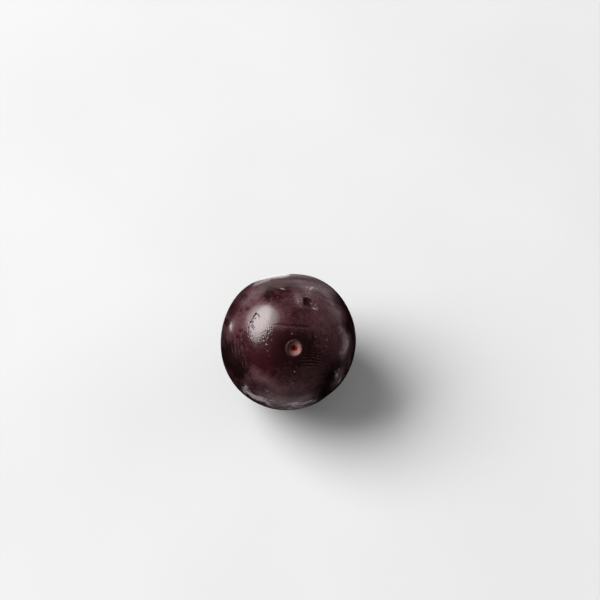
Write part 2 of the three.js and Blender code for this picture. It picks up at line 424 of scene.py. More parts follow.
# It is leaned over and set down where the solid lies: same middle, same top.
leaned = own @ own_to_frame.T
middle = (leaned.min(axis=0) + leaned.max(axis=0)) / 2
set_down = np.array([
    (cad_low.x + cad_high.x) / 2 / MM - middle[0],
    (cad_low.y + cad_high.y) / 2 / MM - middle[1],
    cad_high.z / MM - leaned[:, 2].max(),
])
fruit.data.vertices.foreach_set("co", ((leaned + set_down) * MM).ravel())

# The flat spot underneath, with a narrow rolled edge.
FLAT_SPOT_EDGE = 0.3
bpy.ops.object.mode_set(mode="EDIT")
bpy.ops.mesh.select_all(action="SELECT")
bpy.ops.mesh.bisect(
    plane_co=(0, 0, 0), plane_no=(0, 0, 1), use_fill=True, clear_inner=True, threshold=1e-7
)
bpy.ops.mesh.inset(thickness=FLAT_SPOT_EDGE * MM)
bpy.ops.object.mode_set(mode="OBJECT")
bpy.ops.object.shade_smooth()

own = (places(fruit.data.vertices) - set_down) @ own_to_frame


def keep(name, values, kind="FLOAT"):
    """Stores one value for each vertex, for the material to read."""
    made = fruit.data.attributes.new(name, kind, "POINT")
    field = "vector" if kind == "FLOAT_VECTOR" else "value"
    made.data.foreach_set(field, np.asarray(values, np.float32).ravel())


BELOW = 99.0  # stands for a distance from the stem axis on the lower half, where no scar is

keep("own", own, "FLOAT_VECTOR")
from_axis = np.hypot(own[:, 0], own[:, 1]) * scar_lobes(np.arctan2(own[:, 1], own[:, 0]))
from_axis += BELOW * (own[:, 2] < 0)
keep("from_axis", from_axis)
# Painted shade: the scar is darker on its upper left, the side turned away from the key light, but
# for its pit.
SCAR_SHADE_STRENGTH = 0.85
upper_left = ease(0.9, -1.6, 0.85 * own[:, 0] - 0.5 * own[:, 1])
past_pit = ease(0.5, 1.4, from_axis)
keep("scar_shade", SCAR_SHADE_STRENGTH * upper_left * past_pit)

# Marks have ragged edges, coarse ones on the veil, bloom and crust, and fine ones on what is bare.
ragged = shaken(own, 0.5, 2.0, 20, 3)
frayed = shaken(own, 0.22, 0.5, 22, 2)
MARK_EDGE = 1.3


def marked_with(level, patches, strokes=()):
    """Adds ragged marks to a level. A stroke is its line, half width and amount."""
    value = level + patches_on(ragged, patches, MARK_EDGE)
    for points, width, amount in strokes:
        value += amount * stroke(ragged, points, width)
    return value


# The veil is a breath of wax that never quite wears off. It is thin in the stem's hollow, to the
# left of it and where fruits have rubbed. Low on the right and on the far left it is taken away as
# painted shade, and along the right rim as a painted dark reflection. Its bands on the right flank
# and its arc low on the left are partly wax and partly painted reflection.
VEIL_LEVEL, VEIL_UNEVEN, VEIL_SIZE = 0.57, 0.20, 12.0
STEM_HOLLOW = (0.0, 0.0, 5.6, 5.4, 0)
# Painted shade: (8.6, -11.4) and (6.6, -17.2) low on the right, and (-17.9, -1.6) and (-15.6, -4.8)
# on the far left. Painted dark reflection: (18.8, 5.0) on the right rim.
VEIL_AND_PAINTED_SHADE_PATCHES = (
    (-14.2, 7.6, 2.2, 3.4, 0, 0.25), (-10.0, 14.2, 4.5, 2.2, 32, 0.25),
    (6.0, 12.4, 6.0, 5.0, 0, 0.12), (10.4, 6.0, 5.0, 8.0, 14, 0.38),
    (-2.0, -13.6, 9.0, 3.4, 0, 0.40), (3.0, -9.0, 5.0, 4.0, 0, 0.15),
    (-8.6, -0.4, 5.4, 4.6, -15, -0.95), (*STEM_HOLLOW, -1.05),
    (-5.0, 3.2, 4.2, 2.6, -15, -0.70), (8.6, -11.4, 2.4, 5.6, -38, -0.70),
    (-17.9, -1.6, 2.1, 7.0, 16, -1.0), (-15.6, -4.8, 0.9, 1.4, 10, -0.4),
    (4.8, -3.4, 3.8, 2.8, -10, -0.05), (18.8, 5.0, 1.7, 9.0, 5, -0.40),
    (-6.4, -5.9, 0.8, 0.7, 0, -0.45), (-8.9, -12.9, 3.4, 0.5, -28, -0.5),
    (-14.6, -8.0, 1.3, 1.8, 30, 0.35), (0.6, -5.2, 1.3, 1.0, 0, -0.3),
    (13.0, 2.0, 5.0, 7.0, 10, 0.1), (1.6, 11.4, 3.8, 3.4, 0, -0.35),
    (6.6, -17.2, 3.4, 1.8, 24, -0.80), (12.0, -2.6, 3.6, 2.2, -20, 0.20),
)
LOWER_LEFT_ARC = ((-13.4, -4.2), (-11.6, -6.1), (-9.2, -8.6), (-6.6, -11.0), (-3.4, -12.8))
# Partly painted reflection: the arc low on the left and the two bands on the right flank. Painted
# dark reflection: the last stroke, on the right rim.
VEIL_AND_PAINTED_REFLECTION_STROKES = (
    (LOWER_LEFT_ARC, 1.7, 0.66),
    (((1.9, 18.2), (1.4, 16.0), (1.2, 13.6)), 0.45, -0.5),
    (((-3.4, 13.0), (-2.8, 10.9), (-2.6, 8.2)), 0.22, 0.9),
    (((-2.4, 12.8), (-1.9, 10.2), (-1.7, 8.2)), 0.2, 0.5),
    (((10.5, 12.2), (12.4, 9.2), (13.6, 6.2), (14.4, 3.4)), 0.9, 0.60),
    (((14.3, 4.6), (15.2, 1.0), (15.2, -1.3), (14.4, -3.1), (12.6, -5.2)), 1.0, 0.70),
    (((16.6, 4.6), (17.4, 0.7), (17.2, -2.4)), 0.6, -0.9),
)
veil_level = VEIL_LEVEL + VEIL_UNEVEN * rough(own, VEIL_SIZE, 4, 2)
veil_and_painted_light = marked_with(veil_level, VEIL_AND_PAINTED_SHADE_PATCHES, VEIL_AND_PAINTED_REFLECTION_STROKES)
# On the crests of the wrinkles and on the lip of the crease it is raised as painted highlight, and
# in the troughs and the crease it is taken away as painted shade, most of all in the crease's right
# half.
PAINTED_LIGHT_ON_CRESTS, PAINTED_SHADE_IN_TROUGHS = 0.2, 1.3
PAINTED_LIGHT_ON_LIP, LIP_WIDTH = 0.6, 0.22
PAINTED_SHADE_IN_CREASE, PAINTED_SHADE_IN_CREASE_RIGHT_HALF, RIGHT_HALF_WIDTH = 0.9, 0.6, 0.3
wrinkled = wrinkled_on(own)
veil_and_painted_light += PAINTED_LIGHT_ON_CRESTS * np.clip(wrinkled, 0, 1) - PAINTED_SHADE_IN_TROUGHS * np.clip(-wrinkled, 0, 1)
veil_and_painted_light += PAINTED_LIGHT_ON_LIP * stroke(own, CREASE_LIP, LIP_WIDTH)
veil_and_painted_light -= PAINTED_SHADE_IN_CREASE * stroke(own, CREASE, CREASE_WIDTH)
veil_and_painted_light -= PAINTED_SHADE_IN_CREASE_RIGHT_HALF * stroke(own, CREASE[-3:], RIGHT_HALF_WIDTH)
keep("veil_and_painted_light", np.clip(veil_and_painted_light, -0.4, 1.2))

# Bloom is a smooth haze where nothing has touched it. Along the upper left rim, which faces the key
# light, it is a painted sheen; above the glint on the left rim it is a painted reflection; its
# bands on the right flank and its arc low on the left are partly bloom and partly painted
# reflection.
BLOOM_LEVEL, BLOOM_SIZE = 0.04, 11.0
HOLLOW_CLEAN, HOLLOW_EDGE = 0.9, 1.5  # how clean the stem's hollow is of bloom
LOWER_BLOOM, LOWER_BLOOM_SIZE = 0.3, 8.0
BLOOM_PATCHES = (
    (6.4, 13.8, 4.6, 2.8, 0, 0.17), (12.2, 14.6, 2.6, 1.3, -42, 0.30),
    (7.4, 15.6, 2.6, 1.1, -10, 0.15), (8.0, 17.4, 6.0, 1.5, -18, 0.14),
    (-2.8, -17.4, 7.4, 2.2, -3, 0.46), (-7.5, -14.0, 4.4, 1.9, -22, 0.23),
    (12.2, -11.4, 1.2, 3.4, -28, 0.30), (1.4, -15.6, 3.4, 1.4, 0, 0.06),
    (-9.0, 15.6, 4.6, 1.2, 30, 0.16), (3.6, 13.2, 1.0, 1.6, 12, 0.26),
    (-1.0, -11.6, 4.4, 2.2, -5, 0.10), (10.8, 6.4, 3.4, 5.6, 14, 0.06),
)
# Painted light among them: the second stroke is painted sheen and the fifth painted reflection; the
# first, third and fourth are partly painted reflection.
BLOOM_AND_PAINTED_SHEEN_STROKES = (
    (((11.8, 14.6), (13.2, 10.8), (14.4, 7.4), (14.8, 4.4)), 1.4, 0.42),
    (((-19.9, 2.0), (-19.3, 8.4), (-16.6, 14.0), (-12.0, 18.2)), 0.7, 0.12),
    (LOWER_LEFT_ARC, 1.1, 0.10),
    (((14.2, 4.4), (15.3, 1.2), (15.4, -1.4), (14.5, -3.2), (12.7, -4.3)), 0.8, 0.60),
    (((-16.9, 6.9), (-14.4, 11.0)), 0.7, 0.15),
    (((15.9, -5.5), (16.4, -8.0), (15.9, -10.5)), 0.5, 0.22),
    (((-3.8, -19.0), (0.0, -19.4), (4.0, -18.8)), 0.8, 0.25),
)
bloom_level = BLOOM_LEVEL * np.clip(rough(own, BLOOM_SIZE, 9), 0, 1)
bloom_and_painted_sheen = marked_with(bloom_level, BLOOM_PATCHES, BLOOM_AND_PAINTED_SHEEN_STROKES)
bloom_and_painted_sheen *= 1 - HOLLOW_CLEAN * patch(own, *STEM_HOLLOW, HOLLOW_EDGE)
# Below the widest line it has been touched less, and lies in clouds.
lower_clouds = np.clip(rough(own, LOWER_BLOOM_SIZE, 19, 2) + 0.15, 0, 1)
bloom_and_painted_sheen += LOWER_BLOOM * (1 - stem_side(own)) * lower_clouds
keep("bloom_and_painted_sheen", np.clip(bloom_and_painted_sheen, 0, 1))

# Wax left as a crust, with crisp edges, in the lee of old wounds and where fruits have touched.
# Along the cut's flap it is partly a painted highlight on the lifted edge, and its band on the
# right flank is partly painted reflection. Dabs of it lie scattered along the edge that the stem
# leans towards.
DAB_COUNT = 34
DAB_BREADTH = 0.3
dab_bearings = np.radians(scatter.uniform(238, 285, DAB_COUNT))
dab_reaches = scatter.uniform(16.2, 19.6, DAB_COUNT)
dab_sizes = scatter.uniform(0.3, 1.3, DAB_COUNT)
dab_amounts = scatter.uniform(0.15, 0.45, DAB_COUNT)
dabs = tuple(
    (reach * math.cos(way), reach * math.sin(way), size, DAB_BREADTH, math.degrees(way) + 90, much)
    for way, reach, size, much in zip(dab_bearings, dab_reaches, dab_sizes, dab_amounts)
)
CRUST_PATCHES = (
    (8.8, 10.6, 1.5, 1.1, 40, 0.24), (3.4, 12.9, 0.6, 1.4, 15, 0.27),
    (-14.8, -9.6, 0.8, 0.8, 40, 0.45), (-14.3, -11.9, 2.2, 0.9, -50, 0.45),
    (-11.3, -14.2, 2.8, 0.8, -32, 0.45), (-0.2, -17.5, 1.8, 0.6, 0, 0.46),
    (-2.6, -17.0, 2.4, 0.35, 5, 0.50), (2.6, -17.0, 1.8, 0.5, 4, 0.36),
    (11.6, -10.6, 0.6, 2.2, -25, 0.50), (12.6, -12.6, 0.5, 1.8, -25, 0.50),
    (8.4, 15.6, 2.2, 0.5, -4, 0.24), (6.4, 14.4, 0.4, 1.3, -10, 0.25),
    (-4.6, -18.2, 2.4, 0.4, -8, 0.45), (-9.4, -11.4, 2.6, 0.3, -36, 0.36),
)
CRUST_AND_PAINTED_SHEEN_STROKES = (
    (CUT_FLAP, 0.14, 0.8),
    (((6.4, 10.9), (7.4, 10.0), (8.6, 9.5)), 0.35, 0.28),
    (((6.7, 16.2), (7.7, 15.5), (8.8, 15.6), (9.9, 15.3)), 0.40, 0.40),
    (((-15.8, -10.4), (-14.4, -11.8), (-12.6, -13.3), (-10.6, -14.6), (-8.0, -15.4)), 0.8, 0.50),
    (((15.2, 2.6), (16.1, 0.3), (16.1, -1.8), (15.2, -3.4), (13.4, -4.7)), 0.35, 0.42),
    (((-4.0, -19.2), (-0.5, -19.7), (3.4, -19.4)), 0.4, 0.5),
)
crust_and_painted_sheen = marked_with(0.0, dabs + CRUST_PATCHES, CRUST_AND_PAINTED_SHEEN_STROKES)
keep("crust_and_painted_sheen", np.clip(crust_and_painted_sheen, 0, 1))

# Fine upright streaks, where a finger has dragged the veil.
DRAGGED, DRAGGED_EDGE = (-15.4, 1.0, 3.0, 4.6, 8), 1.8
keep("dragged", np.clip(patch(ragged, *DRAGGED, DRAGGED_EDGE), 0, 1))

# Fine lines that run round the shoulder.
RINGED = ((12.6, 13.4, 5.6, 3.0, -48, 1.0), (4.0, 18.4, 6.6, 1.6, -8, 0.8))
RINGED_EDGE = 1.6
LEFT_SHOULDER = ((-18.8, 5.5), (-17.2, 10.4), (-14.4, 14.4), (-10.6, 17.2))
ringed = patches_on(ragged, RINGED, RINGED_EDGE) + 0.8 * stroke(ragged, LEFT_SHOULDER, 1.4)
keep("ringed", np.clip(ringed, 0, 1))

# A peppering of bare spots, with the larger ones among them.
PEPPERED = (
    (-12.6, 4.2, 2.0, 3.6, 0, 1.0), (-13.6, 13.0, 3.6, 1.6, 48, 0.9),
    (-4.2, 15.8, 2.8, 2.2, 12, 0.7), (-15.4, -4.4, 1.2, 2.4, 20, 0.5),
    (-7.4, 3.6, 3.4, 3.0, 0, 0.5), (-2.0, 15.0, 4.0, 2.2, 0, 0.35),
)
PEPPERED_EDGE = 1.4
keep("peppered", np.clip(patches_on(own, PEPPERED, PEPPERED_EDGE), 0, 1))
BARE_SPOTS = (
    (-12.9, 14.5, 0.9, 0.5, 45), (-14.4, 13.0, 1.2, 0.9, 50), (-11.4, 16.0, 0.9, 0.4, 30),
    (-11.1, 12.7, 0.7, 0.55, 20), (-15.3, 11.4, 1.0, 0.6, 55), (-13.4, 13.2, 0.5, 0.4, 20),
    (-16.7, 9.3, 0.9, 0.5, 65), (-9.8, 14.9, 0.5, 0.35, 10), (-5.0, 15.2, 0.5, 1.0, 10),
    (-12.8, 6.1, 0.5, 0.7, 0), (-12.2, 4.7, 0.65, 0.6, 0), (-13.5, 5.3, 0.5, 0.5, 0),
    (-12.7, 3.6, 0.6, 0.7, 0), (-12.0, 2.1, 0.55, 1.1, 0), (-14.0, 6.9, 0.4, 0.5, 0),
    (-15.1, 5.2, 0.4, 0.5, 0), (-14.1, 3.4, 0.4, 0.7, 0), (-17.3, 8.9, 0.5, 1.2, 10),
    (-11.5, 3.3, 0.4, 0.5, 0), (-11.2, 1.0, 0.4, 0.6, 0), (-7.0, 5.6, 0.3, 0.3, 0),
    (-6.2, 4.4, 0.3, 0.3, 0), (-8.6, 3.0, 0.3, 0.4, 0), (-9.6, 2.4, 0.3, 0.4, 0),
    (-7.0, 3.2, 0.3, 0.3, 0), (-8.2, 1.2, 0.3, 0.4, 0), (-12.9, 5.2, 0.5, 0.5, 0),
    (-11.9, 5.6, 0.35, 0.4, 0), (-13.2, 4.0, 0.4, 0.5, 0),
)
BARE_EDGE = 2.0
BARE_STREAKS = (
    ((-4.3, 17.4), (-4.6, 14.4)), ((-3.4, 17.0), (-3.5, 14.6)), ((-2.7, 15.6), (-2.8, 13.9)),
)
bare = np.zeros(len(own))
for spot in BARE_SPOTS:
    bare = np.maximum(bare, patch(frayed, *spot, BARE_EDGE))
for streak in BARE_STREAKS:
    bare = np.maximum(bare, 0.8 * stroke(frayed, streak, 0.3))
keep("bare", bare)

# Red flesh glowing through the skin where it is ripest. On the right rim, at (18.6, 6.0), it is
# partly a painted red reflection, and on the far left, at (-16.5, -3.0), it is held back as painted
# shade.
RED_PATCHES = (
    (-9.0, 1.0, 6.0, 6.0, 0, 1.0), (-10.0, -5.5, 3.0, 5.0, 50, 0.8),
    (-2.0, 11.0, 8.0, 6.0, 0, 0.9), (-13.0, 9.0, 5.0, 7.0, 0, 0.9),
    (18.6, 6.0, 2.4, 8.0, 5, 0.7), (-16.5, -3.0, 3.0, 7.0, 16, -0.8),
)
keep("red", np.clip(patches_on(own, RED_PATCHES, 1.0), 0, 1))

keep("pebbled", pebbled_on(own))
crumbs = crumbs_on(own)
for width, scratch in SCRATCHES:
    crumbs = crumbs * (1 - stroke(own, scratch, width))
keep("crumbs", crumbs)

# Torn skin shows as a dark line in the scratches and all over the healed pit. The dark line in the
# cut is partly torn skin and partly painted shadow under its flap, and the faint one in the crease
# is painted shade.
PIT_DARK_FULL, PIT_DARK_END = 0.8, 1.3  # in radii of the pit
CREASE_PAINTED_SHADE, CREASE_PAINTED_SHADE_WIDTH = 0.3, 0.2
CUT_DARK_AND_SHADOW, CUT_DARK_AND_SHADOW_WIDTH = 2.4, 0.32
SCRATCH_DARK, SCRATCH_SPREAD = 1.2, 1.05  # a scratch is dark this much wider than its groove
torn_and_shaded = CREASE_PAINTED_SHADE * stroke(own, CREASE, CREASE_PAINTED_SHADE_WIDTH)
torn_and_shaded += CUT_DARK_AND_SHADOW * stroke(frayed, CUT, CUT_DARK_AND_SHADOW_WIDTH)
for width, scratch in SCRATCHES:
    torn_and_shaded += SCRATCH_DARK * stroke(frayed, scratch, SCRATCH_SPREAD * width)
pit_reach = healed_pit(ragged) + 0.35 * rough(own, 0.8, 12, 2)
torn_and_shaded += ease(PIT_DARK_END, PIT_DARK_FULL, pit_reach)
keep("torn_and_shaded", np.clip(torn_and_shaded, 0, 1))


def linear(hex_colour):
    """An sRGB hex colour as the linear numbers that a shader takes."""
    shares = [int(hex_colour[i : i + 2], 16) / 255 for i in (1, 3, 5)]
    return (*[s / 12.92 if s <= 0.04045 else ((s + 0.055) / 1.055) ** 2.4 for s in shares], 1.0)


def add(tree, kind, links=None, out=0, **settings):
    """Adds one node and gives back its output; links feed its inputs with values or outputs."""
    made = tree.nodes.new(kind)
    for name, value in settings.items():
        setattr(made, name, value)
    for name, value in (links or {}).items():
        if isinstance(value, bpy.types.NodeSocket):
            tree.links.new(value, made.inputs[name])
        else:
            made.inputs[name].default_value = value
    return made.outputs[out] if made.outputs else made


# Plum skin: a cuticle that shines like polished wax over flesh so dark that it reads as black,
# wine red where light gets in, under a violet-grey bloom that dulls it in veils and patches.
# The torn flesh colour is also painted shade in the crease and painted shadow under the cut's flap.
FLESH, RIPE_FLESH, TORN_FLESH_AND_SHADE = linear("#130607"), linear("#290a0e"), linear("#1f080b")
# The veil, bloom and crust colours also paint sheen and reflection where their masks carry it.
VEIL_AND_SHEEN, BLOOM_AND_SHEEN, CRUST_AND_SHEEN = linear("#533035"), linear("#937c82"), linear("#a39699")
PORE, CRUMB = linear("#a08a8c"), linear("#a8989d")
# The cork's colour in painted shade, for the scar's upper left.
SHADED_CORK = linear("#341819")
GLOSS_TINT = linear("#e8bcc4")

skin = bpy.data.materials.new("plum_skin_under_bloom")
skin.use_nodes = True
tree = skin.node_tree
tree.nodes.clear()
# What was kept at each vertex, as outputs for the nodes below.
own_place = add(tree, "ShaderNodeAttribute", out="Vector", attribute_name="own")
kept = {
    name: add(tree, "ShaderNodeAttribute", out="Fac", attribute_name=name)
    for name in (
        "veil_and_painted_light", "bloom_and_painted_sheen", "crust_and_painted_sheen", "scar_shade", "dragged", "ringed", "bare", "peppered",
        "red", "pebbled", "crumbs", "torn_and_shaded", "from_axis",
    )
}

# The veil is cloudy at 3 mm, dragged into upright streaks 0.3 mm wide, drawn into lines 0.6 mm
# apart round the shoulder, and peppered with bare spots 1.1 mm across.
CLOUD_SIZE, SPOT_SIZE = 3.0, 1.1
STREAKS_PER_MM, LINES_PER_MM = (3.4, 0.2, 0.2), (0.12, 0.12, 1.7)
cloud = add(tree, "ShaderNodeTexNoise", {
    "Vector": own_place, "Scale": 1 / CLOUD_SIZE, "Detail": 8.0, "Roughness": 0.8,
})
cloud = add(tree, "ShaderNodeMapRange", {
    "Value": cloud, "From Min": 0.25, "From Max": 0.75, "To Min": -0.7, "To Max": 0.7,
})
drag = add(tree, "ShaderNodeMapping", {"Vector": own_place, "Scale": STREAKS_PER_MM})
drag = add(tree, "ShaderNodeTexNoise", {
    "Vector": drag, "Scale": 1.0, "Detail": 2.0, "Roughness": 0.6,
})
drag = add(tree, "ShaderNodeMapRange", {
    "Value": drag, "From Min": 0.36, "From Max": 0.64, "To Min": -0.9, "To Max": 0.9,
})
lines = add(tree, "ShaderNodeMapping", {"Vector": own_place, "Scale": LINES_PER_MM})
lines = add(tree, "ShaderNodeTexNoise", {
    "Vector": lines, "Scale": 1.0, "Detail": 4.0, "Roughness": 0.65,
})
lines = add(tree, "ShaderNodeMapRange", {
    "Value": lines, "From Min": 0.38, "From Max": 0.62, "To Min": -0.6, "To Max": 0.6,
})
spots = add(tree, "ShaderNodeTexNoise", {
    "Vector": own_place, "Scale": 1 / SPOT_SIZE, "Detail": 4.0, "Roughness": 0.62,
})
spots = add(tree, "ShaderNodeMapRange", {
    "Value": spots, "From Min": 0.48, "From Max": 0.57, "To Min": 0.0, "To Max": 1.0,
})
spots = add(tree, "ShaderNodeMath", {0: spots, 1: kept["peppered"]}, operation="MULTIPLY")
bare = add(tree, "ShaderNodeMath", {0: spots, 1: kept["bare"]}, operation="MAXIMUM")
# Grit: the wax is mottled at 0.6 mm, all over.
GRIT_SIZE = 0.6
grit = add(tree, "ShaderNodeTexNoise", {
    "Vector": own_place, "Scale": 1 / GRIT_SIZE, "Detail": 3.0, "Roughness": 0.75,
})
grit = add(tree, "ShaderNodeMapRange", {
    "Value": grit, "From Min": 0.3, "From Max": 0.7, "To Min": -0.5, "To Max": 0.5,
})
RUBBED_BARE = -1.6  # what a bare spot adds to the veil
veil_and_painted_light = add(tree, "ShaderNodeMath", {0: kept["veil_and_painted_light"], 1: cloud}, operation="ADD")
veil_and_painted_light = add(tree, "ShaderNodeMath", {0: drag, 1: kept["dragged"], 2: veil_and_painted_light}, operation="MULTIPLY_ADD")
veil_and_painted_light = add(tree, "ShaderNodeMath", {0: lines, 1: kept["ringed"], 2: veil_and_painted_light}, operation="MULTIPLY_ADD")
veil_and_painted_light = add(tree, "ShaderNodeMath", {0: veil_and_painted_light, 1: grit}, operation="ADD")
veil_and_painted_light = add(tree, "ShaderNodeMath", {0: bare, 1: RUBBED_BARE, 2: veil_and_painted_light}, operation="MULTIPLY_ADD")

# Bloom is uneven at 2 mm, and the crust breaks up into crumbs about 1.2 mm across.
BLOOM_MOTTLE, CRUST_CRUMB = 2.0, 1.2
broken = add(tree, "ShaderNodeTexNoise", {
    "Vector": own_place, "Scale": 1 / BLOOM_MOTTLE, "Detail": 7.0, "Roughness": 0.68,
})
broken = add(tree, "ShaderNodeMapRange", {
    "Value": broken, "From Min": 0.25, "From Max": 0.75, "To Min": 0.4, "To Max": 1.6,
})
broken = add(tree, "ShaderNodeMath", {0: broken, 1: grit}, operation="ADD")
broken = add(tree, "ShaderNodeMath", {
    0: lines, 1: kept["ringed"], 2: broken,
}, operation="MULTIPLY_ADD")
bloom_and_painted_sheen = add(tree, "ShaderNodeMath", {
    0: kept["bloom_and_painted_sheen"], 1: broken,
}, operation="MULTIPLY", use_clamp=True)
crumbled = add(tree, "ShaderNodeTexNoise", {
    "Vector": own_place, "Scale": 1 / CRUST_CRUMB, "Detail": 5.0, "Roughness": 0.7,
})
crumbled = add(tree, "ShaderNodeMapRange", {
    "Value": crumbled, "From Min": 0.3, "From Max": 0.7, "To Min": -0.5, "To Max": 0.45,
})
crumbled = add(tree, "ShaderNodeMath", {0: kept["crust_and_painted_sheen"], 1: crumbled}, operation="ADD")
crumbled = add(tree, "ShaderNodeMapRange", {
    "Value": crumbled, "From Min": 0.25, "From Max": 0.7,
})
# Where there is hardly any crust, no crumb shows either.
crust_and_painted_sheen = add(tree, "ShaderNodeMath", {
    0: kept["crust_and_painted_sheen"], 1: 6.0,
}, operation="MULTIPLY", use_clamp=True)
crust_and_painted_sheen = add(tree, "ShaderNodeMath", {0: crust_and_painted_sheen, 1: crumbled}, operation="MULTIPLY")

# Lenticels: pale pores 0.2 mm across, about 1.5 mm apart.
PORE_SPACING = 1.5
pores = add(tree, "ShaderNodeTexVoronoi", {
    "Vector": own_place, "Scale": 1 / PORE_SPACING,
}, out="Distance")
pores = add(tree, "ShaderNodeMapRange", {
    "Value": pores, "From Min": 0.04, "From Max": 0.1, "To Min": 0.07, "To Max": 0.0,
})

# From the flesh outwards: each layer covers what is under it by its share.
ripe = add(tree, "ShaderNodeMix", {
    0: kept["red"], 6: FLESH, 7: RIPE_FLESH,
}, out=2, data_type="RGBA")
veiled = add(tree, "ShaderNodeMath", {0: veil_and_painted_light, 1: 0.5}, operation="MULTIPLY", use_clamp=True)
colour = add(tree, "ShaderNodeMix", {0: veiled, 6: ripe, 7: VEIL_AND_SHEEN}, out=2, data_type="RGBA")
colour = add(tree, "ShaderNodeMix", {0: pores, 6: colour, 7: PORE}, out=2, data_type="RGBA")
waxed = add(tree, "ShaderNodeMath", {0: bloom_and_painted_sheen, 1: 0.75}, operation="MULTIPLY")
colour = add(tree, "ShaderNodeMix", {0: waxed, 6: colour, 7: BLOOM_AND_SHEEN}, out=2, data_type="RGBA")
crusted = add(tree, "ShaderNodeMath", {0: crust_and_painted_sheen, 1: 0.7}, operation="MULTIPLY")
colour = add(tree, "ShaderNodeMix", {0: crusted, 6: colour, 7: CRUST_AND_SHEEN}, out=2, data_type="RGBA")
# Torn skin, with painted shade in the crease and under the cut's flap.
colour = add(tree, "ShaderNodeMix", {
    0: kept["torn_and_shaded"], 6: colour, 7: TORN_FLESH_AND_SHADE,
}, out=2, data_type="RGBA")
crumbed = add(tree, "ShaderNodeMath", {0: kept["crumbs"], 1: 0.75}, operation="MULTIPLY")
colour = add(tree, "ShaderNodeMix", {0: crumbed, 6: colour, 7: CRUMB}, out=2, data_type="RGBA")

# Corky scar tissue: a dark red pit, an orange wall, a pale pink cup and a brown rim. Each ring
# is its distance from the axis, as a share of the scar's radius, and its colour.
CORK_RINGS = (
    (0.0, "#330502"), (0.25, "#521207"), (0.36, "#86402c"), (0.46, "#825147"), (0.62, "#765651"),
    (0.76, "#62434a"), (0.88, "#3e2629"), (0.96, "#241315"), (1.0, "#1c0f11"),
)
WANDER_SIZE = 0.7
wander = add(tree, "ShaderNodeTexNoise", {
    "Vector": own_place, "Scale": 1 / WANDER_SIZE, "Detail": 3.0,
})
wander = add(tree, "ShaderNodeMapRange", {
    "Value": wander, "From Min": 0.3, "From Max": 0.7, "To Min": -0.3, "To Max": 0.3,
})
# The rings are most uneven at the pit.
uneven = add(tree, "ShaderNodeMapRange", {
    "Value": kept["from_axis"], "From Min": 0.9, "From Max": 2.3, "To Min": 1.2, "To Max": 0.3,
})
out_from_pit = add(tree, "ShaderNodeMath", {
    0: uneven, 1: wander, 2: kept["from_axis"],
}, operation="MULTIPLY_ADD")
out_from_pit = add(tree, "ShaderNodeMath", {
    0: out_from_pit, 1: SCAR_RADIUS,
}, operation="DIVIDE")
cork = add(tree, "ShaderNodeValToRGB", {0: out_from_pit})
ramp = cork.node.color_ramp
ramp.elements[0].color = linear(CORK_RINGS[0][1])
ramp.elements[1].color = linear(CORK_RINGS[-1][1])
for position, shade in CORK_RINGS[1:-1]:
    ramp.elements.new(position).color = linear(shade)
# Painted shade: the scar's upper left is mixed towards the shaded cork colour.
cork = add(tree, "ShaderNodeMix", {
    0: kept["scar_shade"], 6: cork, 7: SHADED_CORK,
}, out=2, data_type="RGBA")
on_scar = add(tree, "ShaderNodeMapRange", {
    "Value": kept["from_axis"], "From Min": 3.0, "From Max": 2.65,
})
colour = add(tree, "ShaderNodeMix", {0: on_scar, 6: colour, 7: cork}, out=2, data_type="RGBA")

# The skin's own gloss is broad, and duller under the veil. Wax scatters, bare spots shine,
# cork is dull, and torn tissue mirrors nothing.
waxy = add(tree, "ShaderNodeMath", {0: bloom_and_painted_sheen, 1: crust_and_painted_sheen}, operation="MAXIMUM")
dullness = add(tree, "ShaderNodeMapRange", {"Value": veil_and_painted_light, "To Min": 0.36, "To Max": 0.52})
dullness = add(tree, "ShaderNodeMath", {0: grit, 1: 0.08, 2: dullness}, operation="MULTIPLY_ADD")
dullness = add(tree, "ShaderNodeMapRange", {"Value": waxy, "To Min": dullness, "To Max": 0.65})
dullness = add(tree, "ShaderNodeMapRange", {"Value": bare, "To Min": dullness, "To Max": 0.2})
dullness = add(tree, "ShaderNodeMapRange", {"Value": on_scar, "To Min": dullness, "To Max": 0.5})
dullness = add(tree, "ShaderNodeMapRange", {
    "Value": kept["torn_and_shaded"], "To Min": dullness, "To Max": 0.9,
})
# Over it lies a harder shine, as of a varnish, wherever the wax is thin.
varnish = add(tree, "ShaderNodeMapRange", {"Value": waxy, "To Min": 0.9, "To Max": 0.15})
varnish = add(tree, "ShaderNodeMapRange", {"Value": bare, "To Min": varnish, "To Max": 0.4})
varnish = add(tree, "ShaderNodeMapRange", {"Value": on_scar, "To Min": varnish, "To Max": 0.12})
varnish = add(tree, "ShaderNodeMapRange", {
    "Value": kept["torn_and_shaded"], "To Min": varnish, "To Max": 0.0,
})

# Relief too fine for the mesh: the grain of the wax, and pebbles of dried juice.
GRAIN_SIZE, GRAIN_HEIGHT = 0.5, 0.008
JUICE_SIZE, JUICE_HEIGHT = 0.6, 0.03
grain = add(tree, "ShaderNodeTexNoise", {
    "Vector": own_place, "Scale": 1 / GRAIN_SIZE, "Detail": 4.0, "Roughness": 0.6,
})
pebbles = add(tree, "ShaderNodeTexNoise", {
    "Vector": own_place, "Scale": 1 / JUICE_SIZE, "Detail": 4.0, "Roughness": 0.6,
})
pebbles = add(tree, "ShaderNodeMath", {0: pebbles, 1: kept["pebbled"]}, operation="MULTIPLY")
grain = add(tree, "ShaderNodeMath", {0: grain, 1: GRAIN_HEIGHT}, operation="MULTIPLY")
height = add(tree, "ShaderNodeMath", {
    0: pebbles, 1: JUICE_HEIGHT, 2: grain,
}, operation="MULTIPLY_ADD")
bumped = add(tree, "ShaderNodeBump", {"Height": height, "Distance": MM, "Strength": 1.0})

